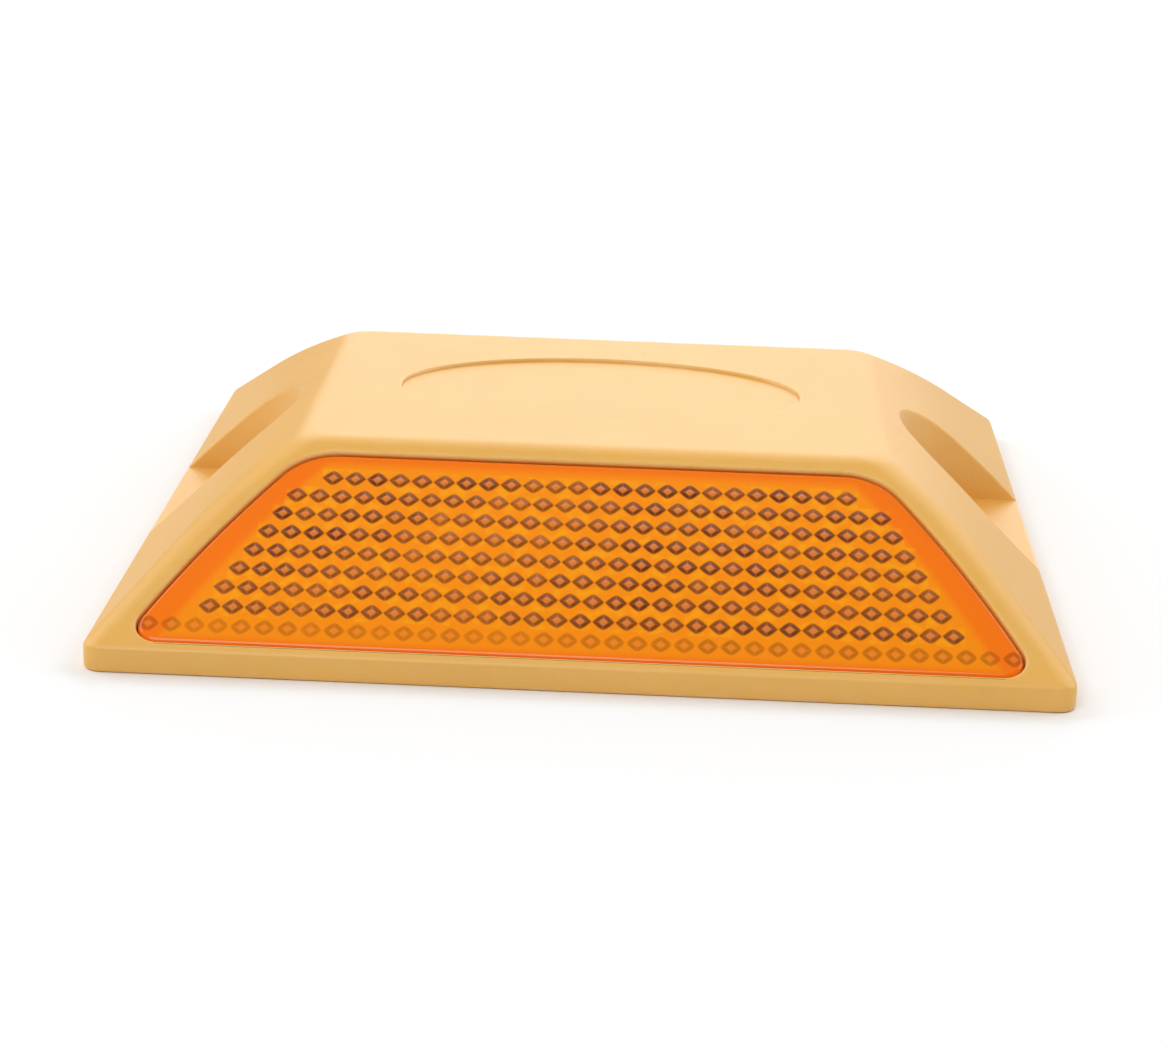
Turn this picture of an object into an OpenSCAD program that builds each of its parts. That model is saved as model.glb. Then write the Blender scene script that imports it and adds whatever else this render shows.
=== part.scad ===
// Two-way raised pavement marker with amber reflector lenses and two fixing holes.
// Millimetres. X across the road, Y along the road (the front lens faces -Y), Z up, road at Z = 0.

/* [Body] */
// Width across the road
body_width = 100; // [92:1:120]
// Length along the road
body_length = 100; // [92:1:120]
// Height of the deck above the road
body_height = 18; // [16:0.5:21]
// Height of the upright edge around the foot
flange_height = 2.7; // [2.3:0.1:3.4]
// Width of the flat deck
deck_width = 62.4; // [56:0.4:68]
// Length of the flat deck
deck_length = 47.4; // [42:0.4:50]
// How far the curved sides bulge past a straight line, in degrees at the foot
side_bow = 4.7; // [3:0.1:6]
// Radius of the soft edges around the deck
crown_radius = 5; // [2:0.5:7]
// Radius of the four corners in plan
corner_radius = 1.6; // [0.8:0.2:3]

/* [Housing walls] */
// Thickness of the deck
deck_wall = 2.6; // [2:0.1:3.2]
// Thickness of the curved sides and of the pocket walls
side_wall = 2.4; // [2:0.1:2.8]
// Width of the foot between the filling and the outside
foot_wall = 3; // [2.4:0.2:4]
// Thickness behind each lens recess
recess_wall = 1.5; // [1.2:0.1:1.8]

/* [Lenses] */
// Gap from the bottom of the slope to the lens
lens_bottom_margin = 1.2; // [1:0.1:2]
// Gap from the lens to the top of the slope
lens_top_margin = 2.2; // [1.8:0.1:4]
// Gap from the lens to the edge of the slope at each side
lens_side_margin = 3; // [2.4:0.1:4]
// Radius of the lower lens corners
lens_foot_radius = 2.4; // [1.6:0.1:3]
// Radius of the upper lens corners
lens_shoulder_radius = 7.5; // [6:0.5:9]
// Thickness of the lens plate
lens_plate = 1.8; // [1.6:0.1:2]
// Depth of the lens face below the slope
lens_set_back = 0.25; // [0.2:0.05:0.4]
// Gap around the lens edge
lens_edge_gap = 0.15; // [0.1:0.05:0.25]
// Width of the plain border beside and above the prisms
prism_border = 1.7; // [1.5:0.1:3]
// Width of the plain border below the prisms
prism_foot_border = 3.3; // [3:0.1:4.5]
// Depth of the prisms behind the plate
prism_depth = 1.9; // [1.6:0.1:2]
// Air gap behind the prisms
air_gap = 0.5; // [0.4:0.1:0.6]
// Air gap beside the prisms
prism_side_gap = 0.4; // [0.2:0.1:0.6]

/* [Fixing holes] */
// Distance from each side to the centre of its fixing hole
hole_inset = 6.8; // [6.2:0.1:7.2]
// Radius of each fixing hole
hole_radius = 2.5; // [2:0.1:3]
// Radius of the half-round pocket around each hole
pocket_radius = 13.2; // [12:0.2:14]
// Distance from the pocket centre to the outside edge
pocket_inset = 2.3; // [1.6:0.1:3]

/* [Deck oval] */
// Width of the oval recess on the deck
oval_width = 45.4; // [38:0.2:50]
// Length of the oval recess on the deck
oval_length = 27.2; // [22:0.2:32]
// Depth of the oval recess
oval_depth = 0.5; // [0.3:0.1:0.8]

/* [Hidden] */
$fn = 96;

half_width = body_width / 2;
half_length = body_length / 2;
rise = body_height - flange_height;

// The slope that carries each lens
slope_run = half_length - deck_length / 2;
slope_angle = atan2(rise, slope_run);
slope_length = norm([rise, slope_run]);

// The curved side: a straight lower part, then one arc up to the deck
side_angle = atan2(rise, half_width - deck_width / 2) + side_bow;
side_normal = [sin(side_angle), cos(side_angle)];
arc_foot = [half_width - 0.48 * rise / tan(side_angle), flange_height + 0.48 * rise];
to_deck = [deck_width / 2, body_height] - arc_foot;
side_radius = -(to_deck * to_deck) / (2 * (to_deck * side_normal));
arc_centre = arc_foot - side_radius * side_normal;

// Half the width of the curved side at height z
function side_x(z) = z < arc_foot[1]
    ? half_width - (z - flange_height) / tan(side_angle)
    : arc_centre[0] + sqrt(pow(side_radius, 2) - pow(z - arc_centre[1], 2));

// The circle through three points, as [x, y, radius]
function circle_through(a, b, c) =
    let (d = 2 * (a[0] * (b[1] - c[1]) + b[0] * (c[1] - a[1]) + c[0] * (a[1] - b[1])),
         x = (a * a * (b[1] - c[1]) + b * b * (c[1] - a[1]) + c * c * (a[1] - b[1])) / d,
         y = (a * a * (c[0] - b[0]) + b * b * (a[0] - c[0]) + c * c * (b[0] - a[0])) / d)
    [x, y, norm(a - [x, y])];

// The lens outline on the slope: u across, v up the slope
lens_low = lens_bottom_margin;
lens_high = slope_length - lens_top_margin;
function lens_side_point(v) = [side_x(flange_height + v * sin(slope_angle)) - lens_side_margin, v];
lens_arc = circle_through(
    lens_side_point(lens_low + 2),
    lens_side_point((lens_low + lens_high) / 2),
    lens_side_point(lens_high - 2)
);

recess_depth = lens_set_back + lens_plate;
prism_pocket_depth = recess_depth + prism_depth + air_gap;

// ---- Flat shapes ----

// What lies outside a round of radius r centred at c that meets two edges at a and b.
// The round is a hair larger, so that it crosses each edge in place of only touching it.
module outside_round(c, r, a, b) {
    m = (a + b) / 2 - c;
    difference() {
        polygon([c, a, c + m * 1.06 * r * r / (m * m), b]);
        translate(c) circle(r * 1.002);
    }
}

// The right-hand limit of the body seen along the road, moved inwards by the wall thickness
module side_limit(inset, top) {
    r = side_radius - inset;
    foot = arc_foot - inset * side_normal;
    translate([arc_centre[0] - 198, 0]) square([200, top]);
    intersection() {
        translate(arc_centre) circle(r, $fn = 360);
        translate([arc_centre[0], foot[1] - 2]) square([200, top - foot[1] + 2]);
    }
    polygon([
        [arc_centre[0], 0],
        foot + foot[1] * [1 / tan(side_angle), -1],
        foot,
        [arc_centre[0], foot[1]]
    ]);
}

// The body seen along the road
module side_section(inset, foot_inset, top) {
    intersection() {
        translate([foot_inset - half_width, 0]) square([body_width - 2 * foot_inset, top]);
        side_limit(inset, top);
        mirror([1, 0]) side_limit(inset, top);
    }
}

// The body seen along the road, with soft edges at the deck
module outer_side_section() {
    c = [
        arc_centre[0] + sqrt(pow(side_radius - crown_radius, 2)
            - pow(body_height - crown_radius - arc_centre[1], 2)),
        body_height - crown_radius
    ];
    touch = arc_centre + (c - arc_centre) * side_radius / (side_radius - crown_radius);
    difference() {
        side_section(0, 0, body_height);
        for (m = [0, 1])
            mirror([m, 0]) outside_round(c, crown_radius, [c[0], body_height], touch);
    }
}

// The two slopes seen from the side, with soft edges where they cross the deck
module outer_end_section() {
    reach = crown_radius * tan(slope_angle / 2);
    edge = [deck_length / 2, body_height];
    c = edge - [reach, crown_radius];
    up = [-cos(slope_angle), sin(slope_angle)];
    above = edge + 6 * up;
    difference() {
        polygon([
            [-half_length, -5], [half_length, -5], [half_length, flange_height],
            above, [-above[0], above[1]], [-half_length, flange_height]
        ]);
        for (m = [0, 1])
            mirror([m, 0]) difference() {
                polygon([c, [c[0], above[1] + 1], [above[0] + 1, above[1] + 1], above + [2, 0], edge - reach * up]);
                translate(c) circle(crown_radius * 1.002);
            }
    }
}

// The filling seen from the side
module inner_end_section() {
    depth = prism_pocket_depth + recess_wall;
    // Where the line parallel to the slope meets a given height
    function at(z) = half_length + (flange_height - z) / tan(slope_angle) - depth / sin(slope_angle);
    top = body_height - deck_wall;
    polygon([[-at(0), 0], [at(0), 0], [at(top), top], [-at(top), top]]);
}

// The lens outline on the slope, moved inwards by e
module lens_outline(e) {
    r = lens_arc[2] - e;
    o = [lens_arc[0], lens_arc[1]];
    low = lens_low + e;
    high = lens_high - e;
    rf = max(lens_foot_radius - e, 0.4);
    rs = max(lens_shoulder_radius - e, 0.8);
    foot = [o[0] + sqrt(pow(r - rf, 2) - pow(low + rf - o[1], 2)), low + rf];
    shoulder = [o[0] + sqrt(pow(r - rs, 2) - pow(high - rs - o[1], 2)), high - rs];
    difference() {
        intersection() {
            translate([-half_width, low]) square([body_width, high - low]);
            mirrored_circles(o, r);
        }
        for (m = [0, 1]) mirror([m, 0]) {
            outside_round(foot, rf, [foot[0], low], o + (foot - o) * r / (r - rf));
            outside_round(shoulder, rs, [shoulder[0], high], o + (shoulder - o) * r / (r - rs));
        }
    }
}

// The outline of the prisms on the slope, made wider by a gap
module prism_outline(gap) {
    intersection() {
        lens_outline(prism_border - gap);
        translate([-half_width, lens_low + prism_foot_border - gap])
            square([body_width, slope_length]);
    }
}

// What two mirrored circles share
module mirrored_circles(o, r) {
    intersection() {
        translate(o) circle(r, $fn = 360);
        translate([-o[0], o[1]]) circle(r, $fn = 360);
    }
}

// ---- Placing ----

// Stands a section seen along the road upright
module along_road(length) {
    rotate([90, 0, 0]) translate([0, 0, -length / 2]) linear_extrude(length) children();
}

// Stands a section seen from the side upright
module across_road(width) {
    rotate([90, 0, 90]) translate([0, 0, -width / 2]) linear_extrude(width) children();
}

// Lays a shape on the front slope: local Z points out of the slope
module on_front_slope() {
    translate([0, -half_length, flange_height]) rotate([slope_angle, 0, 0]) children();
}

module on_both_slopes() {
    for (a = [0, 180]) rotate([0, 0, a]) on_front_slope() children();
}

// ---- Solids ----

module outer_body() {
    difference() {
        intersection() {
            along_road(body_length + 10) outer_side_section();
            across_road(body_width + 10) outer_end_section();
        }
        translate([0, 0, -1]) linear_extrude(body_height) plan_corners();
    }
}

// What the rounded corners take away in plan
module plan_corners() {
    for (mx = [0, 1], my = [0, 1]) mirror([mx, 0]) mirror([0, my]) {
        c = [half_width - corner_radius, half_length - corner_radius];
        outside_round(c, corner_radius, c + [corner_radius, 0], c + [0, corner_radius]);
    }
}

// A round column at each pocket
module pocket_columns(radius, from, height) {
    for (side = [-1, 1])
        translate([side * (half_width - pocket_inset), 0, from])
            cylinder(h = height, r = radius, $fn = 180);
}

module lens_recesses() {
    on_both_slopes() {
        translate([0, 0, -recess_depth]) linear_extrude(recess_depth + 5) lens_outline(0);
        translate([0, 0, -prism_pocket_depth])
            linear_extrude(prism_pocket_depth) prism_outline(prism_side_gap);
    }
}

module filling() {
    difference() {
        intersection() {
            along_road(body_length) side_section(side_wall, foot_wall, body_height - deck_wall);
            across_road(body_width) inner_end_section();
        }
        pocket_columns(pocket_radius + side_wall, -1, body_height + 2);
    }
}

module lens() {
    on_front_slope() {
        translate([0, 0, -recess_depth]) linear_extrude(lens_plate) lens_outline(lens_edge_gap);
        translate([0, 0, -recess_depth - prism_depth])
            linear_extrude(prism_depth) prism_outline(0);
    }
}

// ---- Nodes ----

// Moulded housing, filled from below
module housing() {
    color("#f7c35e") difference() {
        outer_body();
        filling();
        lens_recesses();
        pocket_columns(pocket_radius, flange_height, body_height);
        for (side = [-1, 1])
            translate([side * (half_width - hole_inset), 0, -1])
                cylinder(h = flange_height + 2, r = hole_radius);
        translate([0, 0, body_height - oval_depth])
            scale([oval_width / 2, oval_length / 2, 1]) cylinder(h = oval_depth + 1, r = 1);
    }
}

// Reflector facing the oncoming traffic
module front_lens() {
    color("#f0801a") lens();
}

// Reflector facing the other way
module rear_lens() {
    color("#f0801a") rotate([0, 0, 180]) lens();
}

// Sand and resin filling, level with the foot
module infill() {
    color("#8f8a80") filling();
}

housing();
front_lens();
rear_lens();
infill();
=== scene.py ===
import math

import bmesh
import bpy
from mathutils import Matrix, Vector, interpolate
from mathutils.bvhtree import BVHTree


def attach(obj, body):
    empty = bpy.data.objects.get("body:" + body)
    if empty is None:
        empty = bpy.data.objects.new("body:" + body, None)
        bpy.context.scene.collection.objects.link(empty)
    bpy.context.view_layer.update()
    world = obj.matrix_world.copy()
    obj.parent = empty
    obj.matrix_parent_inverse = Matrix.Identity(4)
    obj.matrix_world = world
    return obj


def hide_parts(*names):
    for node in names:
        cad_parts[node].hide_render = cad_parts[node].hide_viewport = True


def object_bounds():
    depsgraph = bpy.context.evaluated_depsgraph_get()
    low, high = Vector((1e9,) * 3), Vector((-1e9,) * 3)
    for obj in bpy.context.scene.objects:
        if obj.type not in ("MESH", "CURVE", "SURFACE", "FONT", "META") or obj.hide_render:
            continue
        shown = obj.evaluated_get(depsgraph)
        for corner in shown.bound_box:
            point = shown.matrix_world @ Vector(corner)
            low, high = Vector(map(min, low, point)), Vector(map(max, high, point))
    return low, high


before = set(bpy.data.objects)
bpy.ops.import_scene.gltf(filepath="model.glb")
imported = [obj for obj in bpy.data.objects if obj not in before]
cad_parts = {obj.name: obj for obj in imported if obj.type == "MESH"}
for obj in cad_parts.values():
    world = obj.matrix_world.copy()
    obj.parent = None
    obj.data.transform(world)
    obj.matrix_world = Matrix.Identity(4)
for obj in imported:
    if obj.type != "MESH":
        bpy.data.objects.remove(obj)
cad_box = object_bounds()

# ---------------------------------------------------------------------------------------------
# Housing. One moulding of pale yellow ABS: a square foot, two slopes that carry the lenses, two
# bowed sides and a flat deck. Its ridges are softly rounded, as the mould leaves them.
# ---------------------------------------------------------------------------------------------
mm = 0.001
half_width, half_length, deck_height = (round(reach, 4) for reach in cad_box[1])
foot_height = 2.7 * mm
deck_half_width, deck_half_length = 31.2 * mm, 23.7 * mm
crown_radius = 5 * mm
side_bow = math.radians(4.7)
straight_share = 0.48
deck_corner_radius, foot_corner_radius = 2.5 * mm, 1.9 * mm

# The slope is straight. The side is straight too in its lower share, and bows in above it
rise = deck_height - foot_height
slope = math.atan2(rise, half_length - deck_half_length)
slope_length = math.hypot(rise, half_length - deck_half_length)
side = math.atan2(rise, half_width - deck_half_width) + side_bow
bow_foot = Vector((half_width - straight_share * rise / math.tan(side), foot_height + straight_share * rise))
bow_normal = Vector((math.sin(side), math.cos(side)))
to_deck = Vector((deck_half_width, deck_height)) - bow_foot
bow_radius = -to_deck.dot(to_deck) / (2 * to_deck.dot(bow_normal))
bow_centre = bow_foot - bow_radius * bow_normal

# Where the round of the crown has its centre and where it touches, on the sides and on the slopes
crown_z = deck_height - crown_radius
side_crown = bow_centre.x + math.sqrt((bow_radius - crown_radius) ** 2 - (crown_z - bow_centre.y) ** 2)
side_touch = bow_centre.y + (crown_z - bow_centre.y) * bow_radius / (bow_radius - crown_radius)
end_crown = deck_half_length - crown_radius * math.tan(slope / 2)
end_touch = crown_z + crown_radius * math.cos(slope)


def side_reach(z):
    """How far the side stands from the middle at height z, below the crown."""
    if z < bow_foot.y:
        return half_width - (z - foot_height) / math.tan(side)
    return bow_centre.x + math.sqrt(bow_radius ** 2 - (z - bow_centre.y) ** 2)


def slope_reach(z):
    """How far the slope stands from the middle at height z, below the crown."""
    return half_length - (z - foot_height) / math.tan(slope)


def crowned(reach, z, centre, touch):
    """A reach with the round of the crown above the height where it touches."""
    if z < touch:
        return reach(z)
    return centre + math.sqrt(max(crown_radius ** 2 - (z - crown_z) ** 2, 0))


def body_level(z, corner_radius):
    """A level of the body: its height, half width, half length and corner radius in plan."""
    return (z, crowned(side_reach, z, side_crown, side_touch),
            crowned(slope_reach, z, end_crown, end_touch), corner_radius)


# From the deck down: the crown, the sides with corners that get tighter, and the upright foot
levels = []
crown_turn, crown_step = 28, 4
for turn in range(0, crown_turn + 1, crown_step):
    z = deck_height - crown_radius * (1 - math.cos(math.radians(turn)))
    levels.append(body_level(z, deck_corner_radius))
side_top, side_foot, side_steps = 17.3 * mm, 3.15 * mm, 22
for step in range(1, side_steps + 1):
    share = step / side_steps
    levels.append(body_level(side_top + (side_foot - side_top) * share,
                             deck_corner_radius + (foot_corner_radius - deck_corner_radius) * share))
# The foot's height and inset in mm: a small round at its top and at its bottom
foot_profile = ((2.78, 0.17), (2.5, 0.03), (2.2, 0.0), (0.45, 0.0), (0.16, 0.07), (0.0, 0.3))
for z, inset in foot_profile:
    levels.append((z * mm, half_width - inset * mm, half_length - inset * mm, foot_corner_radius))

corner_steps, edge_steps = 8, 14
quarter = corner_steps + edge_steps


def on_level(level, place):
    """Where point number place lies on a level: four rounded corners with straight runs between."""
    z, across, along, radius = level
    corner, step = divmod(place, quarter)
    sign = ((1, 1), (-1, 1), (-1, -1), (1, -1))[corner]
    if step <= corner_steps:
        centre = Vector((sign[0] * (across - radius), sign[1] * (along - radius), z))
        angle = math.radians(90 * (corner + step / corner_steps))
        return centre + radius * Vector((math.cos(angle), math.sin(angle), 0))
    start = on_level(level, corner * quarter + corner_steps)
    end = on_level(level, (corner + 1) % 4 * quarter)
    return start.lerp(end, (step - corner_steps) / edge_steps)


def new_piece(name, bm, slot=None):
    """Makes an object of a bmesh. A piece of the marker, given with a slot name, rides on its one body."""
    mesh = bpy.data.meshes.new(name)
    bm.to_mesh(mesh)
    bm.free()
    piece = bpy.data.objects.new(name, mesh)
    bpy.context.scene.collection.objects.link(piece)
    if slot:
        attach(piece, "root")
    return piece


def put_in_order(bm):
    """Orders the edges and the faces by their points, as an extrusion leaves them in a chance order."""
    bm.verts.index_update()
    count = len(bm.verts)

    def order(element):
        low, middle, *rest = sorted(v.index for v in element.verts)
        return (low * count + middle) * count + (rest[0] if rest else 0)

    bm.edges.sort(key=order)
    bm.faces.sort(key=order)


def extrude_open(bm, edges):
    """Extrudes open edges. Gives the new points and the new edges between them."""
    made = bmesh.ops.extrude_edge_only(bm, edges=edges)["geom"]
    points = {v for v in made if isinstance(v, bmesh.types.BMVert)}
    return points, [e for e in made if isinstance(e, bmesh.types.BMEdge) and set(e.verts) <= points]


bm = bmesh.new()
place_on_ring = bm.verts.layers.int.new("place")
ring = [bm.verts.new(on_level(levels[0], place)) for place in range(4 * quarter)]
for place, v in enumerate(ring):
    v[place_on_ring] = place
edges = bm.faces.new(ring).edges[:]
for level in levels[1:]:
    points, edges = extrude_open(bm, edges)
    for v in points:
        v.co = on_level(level, v[place_on_ring])
bmesh.ops.edgeloop_fill(bm, edges=edges)
bmesh.ops.recalc_face_normals(bm, faces=bm.faces)
put_in_order(bm)
skin = bm.copy()
housing = new_piece("housing_moulding", bm, "housing")


def cut(piece, bm):
    """Takes a closed shape out of a piece."""
    cutter = new_piece("cutter", bm)
    boolean = piece.modifiers.new("cut", "BOOLEAN")
    boolean.object, boolean.operation, boolean.solver = cutter, "DIFFERENCE", "EXACT"
    result = piece.evaluated_get(bpy.context.evaluated_depsgraph_get())
    mesh = bpy.data.meshes.new_from_object(result)
    piece.modifiers.clear()
    piece.data = mesh
    bpy.data.objects.remove(cutter)


def column(centre, radii, height, segments):
    """A closed upright column, round or oval."""
    bm = bmesh.new()
    bmesh.ops.create_cone(bm, cap_ends=True, segments=segments, radius1=1, radius2=1, depth=height,
                          matrix=Matrix.Translation(centre) @ Matrix.Diagonal((*radii, 1, 1)))
    return bm


# The half-round pockets, and the fixing holes through their floors
pocket_radius, pocket_inset = 13.2 * mm, 2.3 * mm
hole_radius, hole_inset = 2.5 * mm, 6.8 * mm
pocket_cut_height, hole_cut_height = 30 * mm, 10 * mm
for side_sign in (-1, 1):
    pocket_centre = (side_sign * (half_width - pocket_inset), 0, foot_height + pocket_cut_height / 2)
    cut(housing, column(pocket_centre, (pocket_radius, pocket_radius), pocket_cut_height, 120))
    hole_centre = (side_sign * (half_width - hole_inset), 0, 0)
    cut(housing, column(hole_centre, (hole_radius, hole_radius), hole_cut_height, 64))

# The shallow oval on the deck
oval_radii, oval_depth, oval_cut_height = (22.7 * mm, 13.6 * mm), 0.4 * mm, 2 * mm
cut(housing, column((0, 0, deck_height - oval_depth + oval_cut_height / 2), oval_radii, oval_cut_height, 160))

# The lens outline on a slope: u across, v up the slope, both from the middle of the slope's foot
lens_low, lens_high = 1.2 * mm, slope_length - 2.2 * mm
lens_side_margin = 3 * mm
lens_foot_radius, lens_shoulder_radius = 2.4 * mm, 7.5 * mm


def lens_side_point(v):
    """The point of the lens's bowed side that is v up the slope."""
    return Vector((side_reach(foot_height + v * math.sin(slope)) - lens_side_margin, v))


def circle_through(a, b, c):
    """The centre and the radius of the circle through three points."""
    d = 2 * (a.x * (b.y - c.y) + b.x * (c.y - a.y) + c.x * (a.y - b.y))
    x = (a.dot(a) * (b.y - c.y) + b.dot(b) * (c.y - a.y) + c.dot(c) * (a.y - b.y)) / d
    y = (a.dot(a) * (c.x - b.x) + b.dot(b) * (a.x - c.x) + c.dot(c) * (b.x - a.x)) / d
    return Vector((x, y)), (a - Vector((x, y))).length


end_run = 2 * mm
lens_centre, lens_bow = circle_through(lens_side_point(lens_low + end_run),
                                       lens_side_point((lens_low + lens_high) / 2),
                                       lens_side_point(lens_high - end_run))


def lens_outline(inset, low_inset):
    """The outline, moved inwards by one inset and up from its foot by another, as points in order."""
    bow = lens_bow - inset
    low, high = lens_low + low_inset, lens_high - inset
    foot_radius = max(lens_foot_radius - inset, 0.5 * mm)
    shoulder_radius = max(lens_shoulder_radius - inset, 0.8 * mm)

    def rounding_centre(v, radius):
        """The centre of a round of this radius at height v that touches the bowed side."""
        return Vector((lens_centre.x + math.sqrt((bow - radius) ** 2 - (v - lens_centre.y) ** 2), v))

    def arc(centre, radius, start, end, count):
        turns = (start + (end - start) * i / count for i in range(count + 1))
        return [centre + radius * Vector((math.cos(turn), math.sin(turn))) for turn in turns]

    foot = rounding_centre(low + foot_radius, foot_radius)
    shoulder = rounding_centre(high - shoulder_radius, shoulder_radius)
    foot_turn = math.atan2(foot.y - lens_centre.y, foot.x - lens_centre.x)
    shoulder_turn = math.atan2(shoulder.y - lens_centre.y, shoulder.x - lens_centre.x)
    # The rounds hold the points where they meet the bow, so the bow stops a hair short of them
    hair = 0.01
    right_half = (arc(foot, foot_radius, -math.pi / 2, foot_turn, 10)
                  + arc(lens_centre, bow, foot_turn + hair, shoulder_turn - hair, 16)
                  + arc(shoulder, shoulder_radius, shoulder_turn, math.pi / 2, 12))
    return right_half + [Vector((-p.x, p.y)) for p in reversed(right_half)]


def slope_matrix(end):
    """From the slope's own axes, with the third out of it, to the part: end 0 is the front, 1 the rear."""
    return (Matrix.Rotation(math.pi * end, 4, "Z") @ Matrix.Translation((0, -half_length, foot_height))
            @ Matrix.Rotation(slope, 4, "X"))


def slab(outline, top, bottom):
    """A closed slab between two heights over the slope, in the slope's own axes."""
    bm = bmesh.new()
    face = bm.faces.new([bm.verts.new((p.x, p.y, top)) for p in outline])
    made = bmesh.ops.extrude_face_region(bm, geom=[face])["geom"]
    moved = [v for v in made if isinstance(v, bmesh.types.BMVert)]
    bmesh.ops.translate(bm, vec=(0, 0, bottom - top), verts=moved)
    bmesh.ops.recalc_face_normals(bm, faces=bm.faces)
    put_in_order(bm)
    return bm


# The recess for each lens: a ledge that the lens rests on, and a deeper floor behind the prisms
lens_set_back, lens_plate = 0.25 * mm, 1.8 * mm
ledge_depth = lens_set_back + lens_plate
ledge_width, ledge_foot_width, prism_room = 1.3 * mm, 2.9 * mm, 2.4 * mm
recess_cut_top = 4 * mm
for end in (0, 1):
    for outline, depth in ((lens_outline(0, 0), ledge_depth),
                           (lens_outline(ledge_width, ledge_foot_width), ledge_depth + prism_room)):
        recess = slab(outline, recess_cut_top, -depth)
        recess.transform(slope_matrix(end))
        cut(housing, recess)

# The hollow underneath, which the filling takes up
same_point = 0.001 * mm
bm = bmesh.new()
bm.from_mesh(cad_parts["infill"].data)
bmesh.ops.remove_doubles(bm, verts=bm.verts, dist=same_point)
cut(housing, bm)

# Flat faces are joined up again, quarter by quarter so that none of them closes round a hole
flat_angle = math.radians(0.2)
bm = bmesh.new()
bm.from_mesh(housing.data)
bmesh.ops.remove_doubles(bm, verts=bm.verts, dist=same_point)
for f in bm.faces:
    middle = f.calc_center_median()
    f.material_index = (middle.x > 0) + 2 * (middle.y > 0)
bmesh.ops.dissolve_limit(bm, angle_limit=flat_angle, verts=bm.verts, edges=bm.edges, delimit={"MATERIAL"})
bm.normal_update()

# Soft rims round the pockets, the holes, the oval and the recesses
rim_radius, rim_merge = 0.35 * mm, 0.15 * mm
lowest_rim, on_skin = foot_height + 0.1 * mm, 0.02 * mm
sharp_angle = math.radians(28)
skin_tree = BVHTree.FromBMesh(skin)


def is_rim(edge):
    """A sharp edge above the foot where a cut comes out through the outer skin."""
    if not edge.is_manifold or edge.calc_face_angle_signed() < sharp_angle:
        return False
    return (max(v.co.z for v in edge.verts) > lowest_rim
            and all(skin_tree.find_nearest(v.co)[3] < on_skin for v in edge.verts))


rim_points = [v for v in bm.verts if any(is_rim(e) for e in v.link_edges)]
bmesh.ops.remove_doubles(bm, verts=rim_points, dist=rim_merge)
bm.normal_update()
bmesh.ops.bevel(bm, geom=[e for e in bm.edges if is_rim(e)], offset=rim_radius, offset_type="OFFSET",
                segments=3, profile=0.5, affect="EDGES", material=-1, clamp_overlap=False, loop_slide=True)
for f in bm.faces:
    f.smooth, f.material_index = True, 0
bm.to_mesh(housing.data)
bm.free()
housing.data.set_sharp_from_angle(angle=sharp_angle)

# The cuts leave long thin faces in the outer skin, so what lies on it is shaded like the skin
# before the cuts. Large faces inside the cuts are flat, and are shaded flat
flat_area, foot_round = 20 * mm ** 2, 0.5 * mm
same_face, same_turn = 0.85, 0.8
skin_normals = [sum((f.normal * f.calc_area() for f in v.link_faces), Vector()).normalized()
                for v in skin.verts]
skin.verts.ensure_lookup_table()
skin.faces.ensure_lookup_table()
mesh = housing.data
shading = [Vector(corner.vector) for corner in mesh.corner_normals]
for face in mesh.polygons:
    for corner in face.loop_indices:
        point = mesh.vertices[mesh.loops[corner].vertex_index].co
        near, skin_normal, index, distance = skin_tree.find_nearest(point)
        if distance > on_skin / 2 or skin_normal.dot(face.normal) < same_face or point.z < foot_round:
            if face.area > flat_area or shading[corner].dot(face.normal) < same_face:
                shading[corner] = Vector(face.normal)
            continue
        verts = skin.faces[index].verts
        weights = interpolate.poly_3d_calc([v.co for v in verts], near)
        smooth = sum((skin_normals[v.index] * w for v, w in zip(verts, weights)), Vector()).normalized()
        if smooth.dot(shading[corner]) > same_turn:
            shading[corner] = smooth
mesh.normals_split_custom_set(shading)
skin.free()
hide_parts("housing")


def new_material(name):
    """A new material, its nodes and its shader."""
    material = bpy.data.materials.new(name)
    material.use_nodes = True
    return material, material.node_tree, material.node_tree.nodes["Principled BSDF"]


def new_group(name, inputs, outputs):
    """An empty node group, with its inputs and its outputs by name."""
    tree = bpy.data.node_groups.new(name, "ShaderNodeTree")
    for way, sockets in (("INPUT", inputs), ("OUTPUT", outputs)):
        for label, kind in sockets:
            tree.interface.new_socket(name=label, in_out=way, socket_type="NodeSocket" + kind)
    return tree, tree.nodes.new("NodeGroupInput").outputs, tree.nodes.new("NodeGroupOutput").inputs


def feed(tree, socket, value):
    """Puts a socket, a colour or a number into a socket."""
    if isinstance(value, bpy.types.NodeSocket):
        tree.links.new(value, socket)
    else:
        socket.default_value = (*value, 1) if isinstance(value, tuple) else value


def value_of(tree, operation, *values):
    """One Math node on numbers or sockets, and its result."""
    node = tree.nodes.new("ShaderNodeMath")
    node.operation = operation
    for socket, value in zip(node.inputs, values):
        feed(tree, socket, value)
    return node.outputs[0]


def times(tree, product, *factors):
    """The product of numbers or sockets."""
    for factor in factors:
        product = value_of(tree, "MULTIPLY", product, factor)
    return product


def plus(tree, total, *terms):
    """The sum of numbers or sockets."""
    for term in terms:
        total = value_of(tree, "ADD", total, term)
    return total


def minus(tree, a, b):
    return value_of(tree, "SUBTRACT", a, b)


def size_of(tree, value):
    return value_of(tree, "ABSOLUTE", value)


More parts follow.
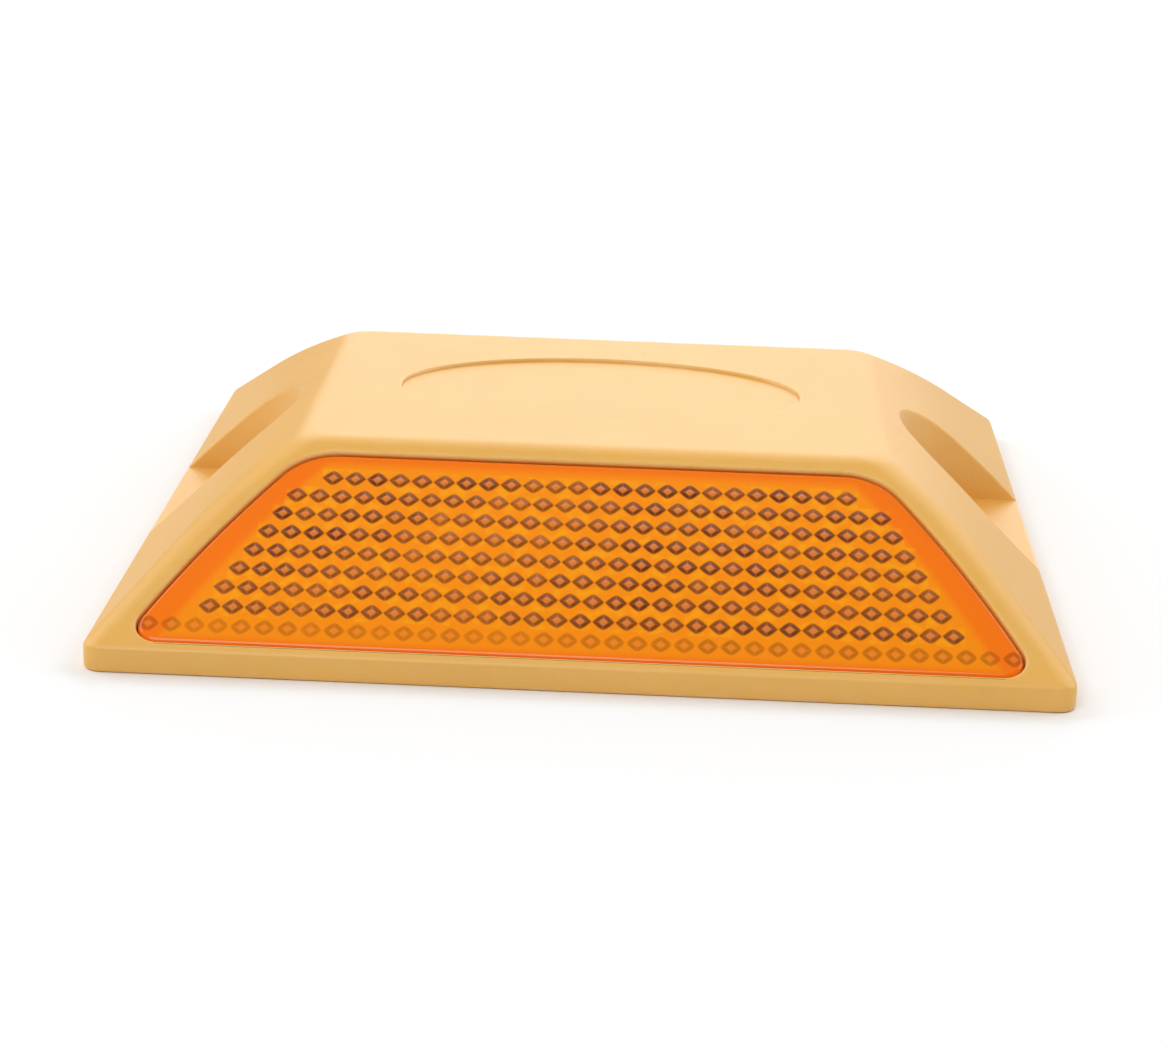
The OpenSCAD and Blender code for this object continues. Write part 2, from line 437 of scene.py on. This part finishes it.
def fade(tree, value, start, end):
    """0 before start, 1 past end, and smooth between them. The start may lie above the end."""
    node = tree.nodes.new("ShaderNodeMapRange")
    node.interpolation_type = "SMOOTHSTEP"
    low, high = (0, 1) if start < end else (1, 0)
    for label, number in (("From Min", min(start, end)), ("From Max", max(start, end)),
                          ("To Min", low), ("To Max", high)):
        node.inputs[label].default_value = number
    tree.links.new(value, node.inputs["Value"])
    return node.outputs["Result"]


def mixed(tree, mask, a, b):
    """Colour a where the mask is 0 and colour b where it is 1."""
    node = tree.nodes.new("ShaderNodeMix")
    node.data_type = "RGBA"
    for socket, value in ((node.inputs[0], mask), (node.inputs[6], a), (node.inputs[7], b)):
        feed(tree, socket, value)
    return node.outputs[2]


def object_place(tree):
    return tree.nodes.new("ShaderNodeTexCoord").outputs["Object"]


def noise(tree, place, size, detail=2.0, roughness=0.5):
    """Soft noise between about 0 and 1, whose lumps are the given size across."""
    node = tree.nodes.new("ShaderNodeTexNoise")
    node.inputs["Scale"].default_value = 1 / size
    node.inputs["Detail"].default_value, node.inputs["Roughness"].default_value = detail, roughness
    tree.links.new(place, node.inputs["Vector"])
    return node.outputs["Fac"]


def cells(tree, place, size):
    """Scattered cells of the given size: the distance from each cell's middle, and its own colour."""
    node = tree.nodes.new("ShaderNodeTexVoronoi")
    node.inputs["Scale"].default_value = 1 / size
    tree.links.new(place, node.inputs["Vector"])
    return node.outputs["Distance"], node.outputs["Color"]


def emboss(tree, shader, height, distance):
    """Gives a shader the relief of a height, where 1 stands for the given distance."""
    bump = tree.nodes.new("ShaderNodeBump")
    bump.inputs["Distance"].default_value = distance
    tree.links.new(height, bump.inputs["Height"])
    tree.links.new(bump.outputs["Normal"], shader.inputs["Normal"])


def moulded_surface():
    """A fine spark-eroded grain, faint flow clouds in the pigment, a few dark specks, and paler and
    smoother edges, partly where the marker has been handled and partly a painted highlight along them."""
    tree, given, out = new_group("moulded_surface",
                                 [("Place", "Vector"), ("Colour", "Color"), ("Grain size", "Float"),
                                  ("Edge", "Float"), ("Roughness", "Float")],
                                 [("Colour", "Color"), ("Roughness", "Float"), ("Height", "Float")])
    place = given["Place"]
    cloud_size, mottle_size, wear_and_highlight_size = 22 * mm, 1.8 * mm, 6 * mm
    speck_spacing, speck_patch = 1 / 150, 9 * mm
    speck_colour = (0.16, 0.09, 0.04)

    clouds = noise(tree, place, cloud_size, 4.0, 0.6)
    mottle = noise(tree, place, mottle_size, 3.0, 0.6)
    wear_and_highlight_patches = fade(tree, noise(tree, place, wear_and_highlight_size, 4.0, 0.65), 0.38, 0.66)
    wear_and_highlight = times(tree, given["Edge"], value_of(tree, "MULTIPLY_ADD", wear_and_highlight_patches, 0.75, 0.25))
    speck_distance, _ = cells(tree, place, speck_spacing)
    speck = times(tree, fade(tree, speck_distance, 0.05, 0.022),
                  fade(tree, noise(tree, place, speck_patch), 0.55, 0.62))

    pigment = tree.nodes.new("ShaderNodeHueSaturation")
    tree.links.new(given["Colour"], pigment.inputs["Color"])
    tree.links.new(plus(tree, 0.93, times(tree, clouds, 0.14)), pigment.inputs["Value"])
    tree.links.new(plus(tree, 1.04, times(tree, mottle, -0.08)), pigment.inputs["Saturation"])
    # The edges are drawn paler and less saturated: partly wear, partly a painted highlight along them
    rubbed_and_highlit = tree.nodes.new("ShaderNodeHueSaturation")
    tree.links.new(pigment.outputs["Color"], rubbed_and_highlit.inputs["Color"])
    rubbed_and_highlit.inputs["Saturation"].default_value, rubbed_and_highlit.inputs["Value"].default_value = 0.82, 1.1
    tone = mixed(tree, times(tree, wear_and_highlight, 0.7), pigment.outputs["Color"], rubbed_and_highlit.outputs["Color"])
    tree.links.new(mixed(tree, times(tree, speck, 0.55), tone, speck_colour), out["Colour"])

    roughness = plus(tree, given["Roughness"], plus(tree, times(tree, mottle, 0.16), -0.08))
    tree.links.new(minus(tree, roughness, times(tree, wear_and_highlight, 0.1)), out["Roughness"])

    grain = tree.nodes.new("ShaderNodeTexNoise")
    grain.inputs["Detail"].default_value = 3.0
    tree.links.new(place, grain.inputs["Vector"])
    tree.links.new(value_of(tree, "DIVIDE", 1.0, given["Grain size"]), grain.inputs["Scale"])
    left_by_wear = minus(tree, 1.0, times(tree, wear_and_highlight, 0.6))
    tree.links.new(times(tree, grain.outputs["Fac"], left_by_wear), out["Height"])
    return tree


def edge_mask(tree, radius):
    """1 on an outer edge and 0 on a flat, from how much a rounded normal would turn away."""
    rounded = tree.nodes.new("ShaderNodeBevel")
    rounded.samples = 4
    rounded.inputs["Radius"].default_value = radius
    turned = tree.nodes.new("ShaderNodeVectorMath")
    turned.operation = "DOT_PRODUCT"
    tree.links.new(rounded.outputs["Normal"], turned.inputs[0])
    tree.links.new(tree.nodes.new("ShaderNodeNewGeometry").outputs["Normal"], turned.inputs[1])
    return fade(tree, turned.outputs["Value"], 0.995, 0.9)


def abs_plastic():
    """Pale yellow ABS, satin from the mould."""
    material, tree, shader = new_material("housing_abs")
    surface = tree.nodes.new("ShaderNodeGroup")
    surface.node_tree = moulded_surface()
    for label, value in (("Place", object_place(tree)), ("Colour", (0.81, 0.435, 0.08)),
                         ("Roughness", 0.44), ("Grain size", 0.3 * mm), ("Edge", edge_mask(tree, 0.7 * mm))):
        feed(tree, surface.inputs[label], value)
    tree.links.new(surface.outputs["Colour"], shader.inputs["Base Color"])
    tree.links.new(surface.outputs["Roughness"], shader.inputs["Roughness"])
    shader.inputs["Specular IOR Level"].default_value = 0.75
    emboss(tree, shader, surface.outputs["Height"], 0.03 * mm)
    return material


housing.data.materials.clear()
housing.data.materials.append(abs_plastic())

# ---------------------------------------------------------------------------------------------
# Lenses. Amber acrylic, clear in front and moulded into corner-cube prisms at the back, welded
# to the ledge of each recess. The front one faces the oncoming traffic.
# ---------------------------------------------------------------------------------------------
# The prisms stand in rows of hexagons, and every other row is moved half a prism sideways
prism_pitch, row_pitch = 2.36 * mm, 2.62 * mm
first_row, row_count, most_columns = 6.3 * mm, 8, 20
field_margin = 3.9 * mm
prism_base, prism_tip = -ledge_depth - 0.05 * mm, -ledge_depth - 1.9 * mm
lens_edge_gap, lens_edge_radius = 0.15 * mm, 0.5 * mm
hexagon = [Vector((prism_pitch / math.sqrt(3) * math.cos(math.radians(turn)),
                   row_pitch / 1.5 * math.sin(math.radians(turn)))) for turn in range(30, 390, 60)]


def prism_places():
    """The middle of each prism on the slope, row by row, as far as the bowed sides let them go."""
    places = []
    for row in range(row_count):
        v = first_row + row * row_pitch
        reach = lens_centre.x + math.sqrt(lens_bow ** 2 - (v - lens_centre.y) ** 2) - field_margin
        for column_number in range(-most_columns, most_columns + 1):
            u = (column_number + 0.5 * (row % 2)) * prism_pitch
            if abs(u) <= reach:
                places.append(Vector((u, v)))
    return places


def prism_sheet(bm):
    """All the corner cubes as one sheet. Each is three faces that meet at a tip."""
    for p in prism_places():
        tip = bm.verts.new((p.x, p.y, prism_tip))
        heights = 3 * (prism_base, (prism_base + prism_tip) / 2)
        rim = [bm.verts.new((p.x + h.x, p.y + h.y, height)) for h, height in zip(hexagon, heights)]
        for i in (0, 2, 4):
            bm.faces.new((tip, rim[i - 1], rim[i], rim[(i + 1) % 6]))
    bmesh.ops.remove_doubles(bm, verts=bm.verts, dist=0.02 * mm)


def lens_shape():
    """A lens in the slope's own axes: the prisms, the back and sides of the plate, and its front face."""
    bm = bmesh.new()
    prism_sheet(bm)
    points, inner = extrude_open(bm, [e for e in bm.edges if e.is_boundary])
    for v in points:
        v.co.z = -ledge_depth
    outline = lens_outline(lens_edge_gap, lens_edge_gap)
    front_edges = bm.faces.new([bm.verts.new((p.x, p.y, -lens_set_back)) for p in outline]).edges[:]
    points, outer = extrude_open(bm, front_edges)
    for v in points:
        v.co.z = -ledge_depth
    bmesh.ops.triangle_fill(bm, edges=inner + outer, use_beauty=True)
    bmesh.ops.bevel(bm, geom=front_edges, offset=lens_edge_radius, segments=4, profile=0.5, affect="EDGES",
                    material=-1, clamp_overlap=True)
    bmesh.ops.recalc_face_normals(bm, faces=bm.faces)
    prism_map = bm.loops.layers.uv.new("prisms")
    for f in bm.faces:
        f.smooth = True
        for corner in f.loops:
            at = corner.vert.co
            corner[prism_map].uv = (at.x / prism_pitch, (at.y - first_row) / row_pitch)
    return bm


def room_beside(tree, row_place, u):
    """How far a place, by its row and its distance from the middle, is inside the field of prisms."""
    v = plus(tree, times(tree, row_place, row_pitch), first_row - lens_centre.y)
    bow = value_of(tree, "SQRT", minus(tree, lens_bow ** 2, times(tree, v, v)))
    return minus(tree, plus(tree, bow, lens_centre.x - field_margin), u)


def room_in_field(tree, across, up):
    """How far a place is inside the field of prisms, at its sides, its top and its foot."""
    beside = room_beside(tree, up, size_of(tree, times(tree, across, prism_pitch)))
    above = times(tree, minus(tree, row_count - 0.35, up), row_pitch)
    below = times(tree, plus(tree, up, 1.5), row_pitch)
    return value_of(tree, "MINIMUM", value_of(tree, "MINIMUM", beside, above), below)


def painted_prism_shade(tree, a, b):
    """The painted shade of a prism: its dark diamond ring, its darker middle round the tip, and the dots
    between neighbours, at a distance of a prisms across and b rows up from the middle of the prism."""
    half_width_of_ring, half_height_of_ring, roundness = 1.04 * mm, 1.02 * mm, 1.35
    dot_place, dot_width, dot_height = 0.395, 0.28 * mm, 0.34 * mm
    across = value_of(tree, "POWER", times(tree, a, prism_pitch / half_width_of_ring), roundness)
    up = value_of(tree, "POWER", times(tree, b, row_pitch / half_height_of_ring), roundness)
    spread = value_of(tree, "POWER", plus(tree, across, up), 1 / roundness)
    ring = fade(tree, size_of(tree, minus(tree, spread, 0.7)), 0.42, 0.14)
    flank = fade(tree, times(tree, a, b), -0.01, 0.02)
    ring = times(tree, ring, plus(tree, times(tree, flank, 0.3), 0.7))
    middle = fade(tree, spread, 0.55, 0.2)
    from_dot = times(tree, size_of(tree, minus(tree, a, dot_place)), prism_pitch / dot_width)
    dot = fade(tree, plus(tree, from_dot, times(tree, b, row_pitch / dot_height)), 1.3, 0.2)
    return spread, ring, middle, dot


def prism_tint_and_painted_light():
    """The amber tint of the lens, with the light and shade of the prisms painted as they show through the
    clear face: glints, dark rings, darker middles and dots. The map counts prisms across and rows up.
    """
    # The amber tints of the lens, a painted glint, and the painted shade of the middles, rings and dots
    rim_colour, field_colour, painted_glint_colour = (0.96, 0.185, 0.001), (0.96, 0.27, 0.001), (0.98, 0.4, 0.004)
    tip_shade_colour, painted_shade_colour = (0.72, 0.19, 0.04), (0.15, 0.024, 0.001)
    least_depth, depth_by_chance, depth_by_patch, low_row_depth = 0.62, 0.18, 0.2, 0.5
    patch_size, fleck_size, dot_depth, painted_glint_strength = 20 * mm, 1.5 * mm, 0.6, 0.6
    tree, given, out = new_group("prism_tint_and_painted_light", [("Map", "Vector"), ("Place", "Vector")],
                                 [("Colour", "Color"), ("Height", "Float")])
    split = tree.nodes.new("ShaderNodeSeparateXYZ")
    tree.links.new(given["Map"], split.inputs[0])
    across, up = split.outputs[0], split.outputs[1]
    row = value_of(tree, "ROUND", up)
    shift = times(tree, value_of(tree, "PINGPONG", row, 1.0), 0.5)
    column_number = value_of(tree, "ROUND", minus(tree, across, shift))
    a = size_of(tree, minus(tree, minus(tree, across, shift), column_number))
    b = size_of(tree, minus(tree, up, row))
    spread, ring, middle, dot = painted_prism_shade(tree, a, b)

    # Where the painted shade goes: full on the prisms inside the field, and faint in a row below it
    prism_u = size_of(tree, times(tree, plus(tree, column_number, shift), prism_pitch))
    inside = fade(tree, room_beside(tree, row, prism_u), -0.01 * mm, 0.01 * mm)
    rows = times(tree, fade(tree, row, -0.6, -0.4), fade(tree, row, row_count - 0.4, row_count - 0.6))
    low_row = times(tree, fade(tree, row, -1.6, -1.4), fade(tree, row, -0.4, -0.6))
    full = times(tree, inside, rows)

    # The painted shade is stronger in some prisms than in others at random, and paler in some patches of the
    # lens than in others
    prism_number = tree.nodes.new("ShaderNodeCombineXYZ")
    tree.links.new(column_number, prism_number.inputs[0])
    tree.links.new(row, prism_number.inputs[1])
    chance = tree.nodes.new("ShaderNodeTexWhiteNoise")
    tree.links.new(prism_number.outputs[0], chance.inputs["Vector"])
    patches = fade(tree, noise(tree, given["Place"], patch_size), 0.34, 0.6)
    varied = plus(tree, times(tree, chance.outputs["Value"], depth_by_chance),
                  times(tree, patches, depth_by_patch))
    depth = times(tree, plus(tree, least_depth, varied),
                  plus(tree, full, times(tree, low_row, low_row_depth)))

    # Painted glints: bright flecks between the prisms
    painted_glint_flecks = fade(tree, noise(tree, given["Place"], fleck_size), 0.42, 0.66)
    painted_glint = times(tree, fade(tree, spread, 0.95, 1.35), times(tree, painted_glint_flecks, full), painted_glint_strength)

    field = fade(tree, room_in_field(tree, across, up), -1.0 * mm, 0.4 * mm)
    colour = mixed(tree, field, rim_colour, field_colour)
    # Painted glints between the prisms
    colour = mixed(tree, painted_glint, colour, painted_glint_colour)
    # Painted shade: a darker middle round each tip, the dark diamond rings, and dark dots between neighbours
    colour = mixed(tree, times(tree, middle, depth), colour, tip_shade_colour)
    colour = mixed(tree, times(tree, ring, depth), colour, painted_shade_colour)
    colour = mixed(tree, times(tree, dot, full, dot_depth), colour, painted_shade_colour)
    tree.links.new(colour, out["Colour"])
    tree.links.new(times(tree, minus(tree, 1.0, fade(tree, spread, 0.0, 1.1)), full), out["Height"])
    return tree


def lens_acrylic():
    """Amber acrylic with a polished clear face in front, and the light and shade of the prisms behind it
    painted into the colour of the face.
    """
    material, tree, shader = new_material("lens_acrylic")
    pattern = tree.nodes.new("ShaderNodeGroup")
    pattern.node_tree = prism_tint_and_painted_light()
    prism_map = tree.nodes.new("ShaderNodeUVMap")
    prism_map.uv_map = "prisms"
    tree.links.new(prism_map.outputs[0], pattern.inputs["Map"])
    tree.links.new(object_place(tree), pattern.inputs["Place"])
    tree.links.new(pattern.outputs["Colour"], shader.inputs["Base Color"])
    for label, number in (("Roughness", 0.28), ("Specular IOR Level", 0.1), ("Coat Weight", 0.7),
                          ("Coat Roughness", 0.03), ("Coat IOR", 1.49)):
        shader.inputs[label].default_value = number
    emboss(tree, shader, pattern.outputs["Height"], 0.25 * mm)
    return material


amber = lens_acrylic()
for end, name in enumerate(("front_lens", "rear_lens")):
    shape = lens_shape()
    shape.transform(slope_matrix(end))
    lens = new_piece(name + "_acrylic", shape, "lens")
    lens.data.set_sharp_from_angle(angle=math.radians(25))
    lens.data.materials.append(amber)
    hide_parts(name)


# ---------------------------------------------------------------------------------------------
# Filling. Sand and resin, cast into the hollow of the housing and struck off level with the foot.
# It keeps the shell from being crushed by a wheel, and the glue holds on its rough underside.
# ---------------------------------------------------------------------------------------------
def sand_and_resin():
    """Grains of light and dark sand in a grey binder, with pits where air was caught and painted shade in the
    pits.
    """
    grain_size, pit_spacing, stain_size = 0.9 * mm, 4.5 * mm, 18 * mm
    binder, stained = (0.2, 0.185, 0.16), (0.3, 0.28, 0.245)
    light_grain, dark_grain, pit_shade_colour = (0.5, 0.46, 0.4), (0.07, 0.06, 0.055), (0.05, 0.045, 0.04)
    material, tree, shader = new_material("filling_cast")
    place = object_place(tree)
    grain_distance, grain_colour = cells(tree, place, grain_size)
    pit_distance, _ = cells(tree, place, pit_spacing)
    pit = fade(tree, pit_distance, 0.2, 0.12)
    grain_tone = tree.nodes.new("ShaderNodeSeparateColor")
    tree.links.new(grain_colour, grain_tone.inputs[0])
    light, dark, rough = grain_tone.outputs

    sand = mixed(tree, fade(tree, noise(tree, place, stain_size, 4.0, 0.6), 0.35, 0.65), binder, stained)
    sand = mixed(tree, times(tree, fade(tree, light, 0.55, 1.0), 0.6), sand, light_grain)
    sand = mixed(tree, times(tree, fade(tree, dark, 0.7, 1.0), 0.6), sand, dark_grain)
    # Painted shade in the pits
    sand = mixed(tree, times(tree, pit, 0.7), sand, pit_shade_colour)
    tree.links.new(sand, shader.inputs["Base Color"])
    tree.links.new(plus(tree, 0.72, times(tree, rough, 0.24)), shader.inputs["Roughness"])
    emboss(tree, shader, minus(tree, times(tree, grain_distance, -0.5), pit), 0.35 * mm)
    return material


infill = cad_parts["infill"]
infill.data.materials.clear()
infill.data.materials.append(sand_and_resin())

# ---------------------------------------------------------------------------------------------
# The room: pale paper on the floor, a white backdrop, and four soft lights at the sides. Nothing
# shines from overhead, where the lens would mirror it into the camera.
# ---------------------------------------------------------------------------------------------
room_light, backdrop_light = 0.2, 0.98
floor_reach = 3.0
bm = bmesh.new()
bmesh.ops.create_grid(bm, x_segments=1, y_segments=1, size=floor_reach)
floor = new_piece("floor", bm)


def floor_paper():
    """White paper that turns into the backdrop far from the marker, so that no horizon shows."""
    material, tree, shader = new_material("floor_paper")
    shader.inputs["Base Color"].default_value = (0.9, 0.9, 0.9, 1)
    shader.inputs["Roughness"].default_value = 0.9
    white = tree.nodes.new("ShaderNodeEmission")
    white.inputs["Strength"].default_value = backdrop_light
    away = tree.nodes.new("ShaderNodeVectorMath")
    away.operation = "LENGTH"
    tree.links.new(object_place(tree), away.inputs[0])
    seen = tree.nodes.new("ShaderNodeLightPath").outputs["Is Camera Ray"]
    blend = tree.nodes.new("ShaderNodeMixShader")
    tree.links.new(times(tree, fade(tree, away.outputs["Value"], 0.35, 1.1), seen), blend.inputs["Fac"])
    tree.links.new(shader.outputs[0], blend.inputs[1])
    tree.links.new(white.outputs[0], blend.inputs[2])
    tree.links.new(blend.outputs[0], tree.nodes["Material Output"].inputs["Surface"])
    return material


def soft_light(name, place, size, power):
    """A square light that faces the marker."""
    light = bpy.data.lights.new(name, "AREA")
    light.shape, light.size, light.energy = "SQUARE", size, power
    lamp = bpy.data.objects.new(name, light)
    lamp.location = place
    lamp.rotation_euler = (-Vector(place)).to_track_quat("-Z", "Y").to_euler()
    bpy.context.scene.collection.objects.link(lamp)


floor.data.materials.append(floor_paper())
soft_light("left", (-1.15, 0.4, 0.8), 1.2, 10)
soft_light("right", (1.15, 0.4, 0.8), 1.2, 10)
soft_light("front", (-0.3, -0.95, 1.2), 1.1, 12.5)
soft_light("back", (0.1, 1.35, 0.7), 1.3, 10.5)

# The world lights the marker weakly, and the camera sees it white
world = bpy.data.worlds.new("studio")
bpy.context.scene.world = world
world.use_nodes = True
tree = world.node_tree
backdrop = tree.nodes["Background"]
backdrop.inputs["Color"].default_value = (1, 1, 1, 1)
seen = tree.nodes.new("ShaderNodeLightPath").outputs["Is Camera Ray"]
strength = plus(tree, times(tree, seen, backdrop_light - room_light), room_light)
tree.links.new(strength, backdrop.inputs["Strength"])

# The camera stands low in front, a hand's breadth up, and leans a little to one side
camera_place = Vector((0.0094, -0.3215, 0.1052))
camera_right = Vector((0.999, 0.044, 0.029)).normalized()
camera_up = Vector((-0.040, 0.304, 0.952))
camera_up = (camera_up - camera_right * camera_up.dot(camera_right)).normalized()
camera = bpy.data.objects.new("camera", bpy.data.cameras.new("camera"))
camera.data.sensor_width = 36
camera.data.lens = 90
camera.data.clip_start = 0.01
facing = Matrix((camera_right, camera_up, camera_right.cross(camera_up))).transposed().to_4x4()
camera.matrix_world = Matrix.Translation(camera_place) @ facing
bpy.context.scene.collection.objects.link(camera)
bpy.context.scene.camera = camera
bpy.context.scene.view_settings.view_transform = "Standard"
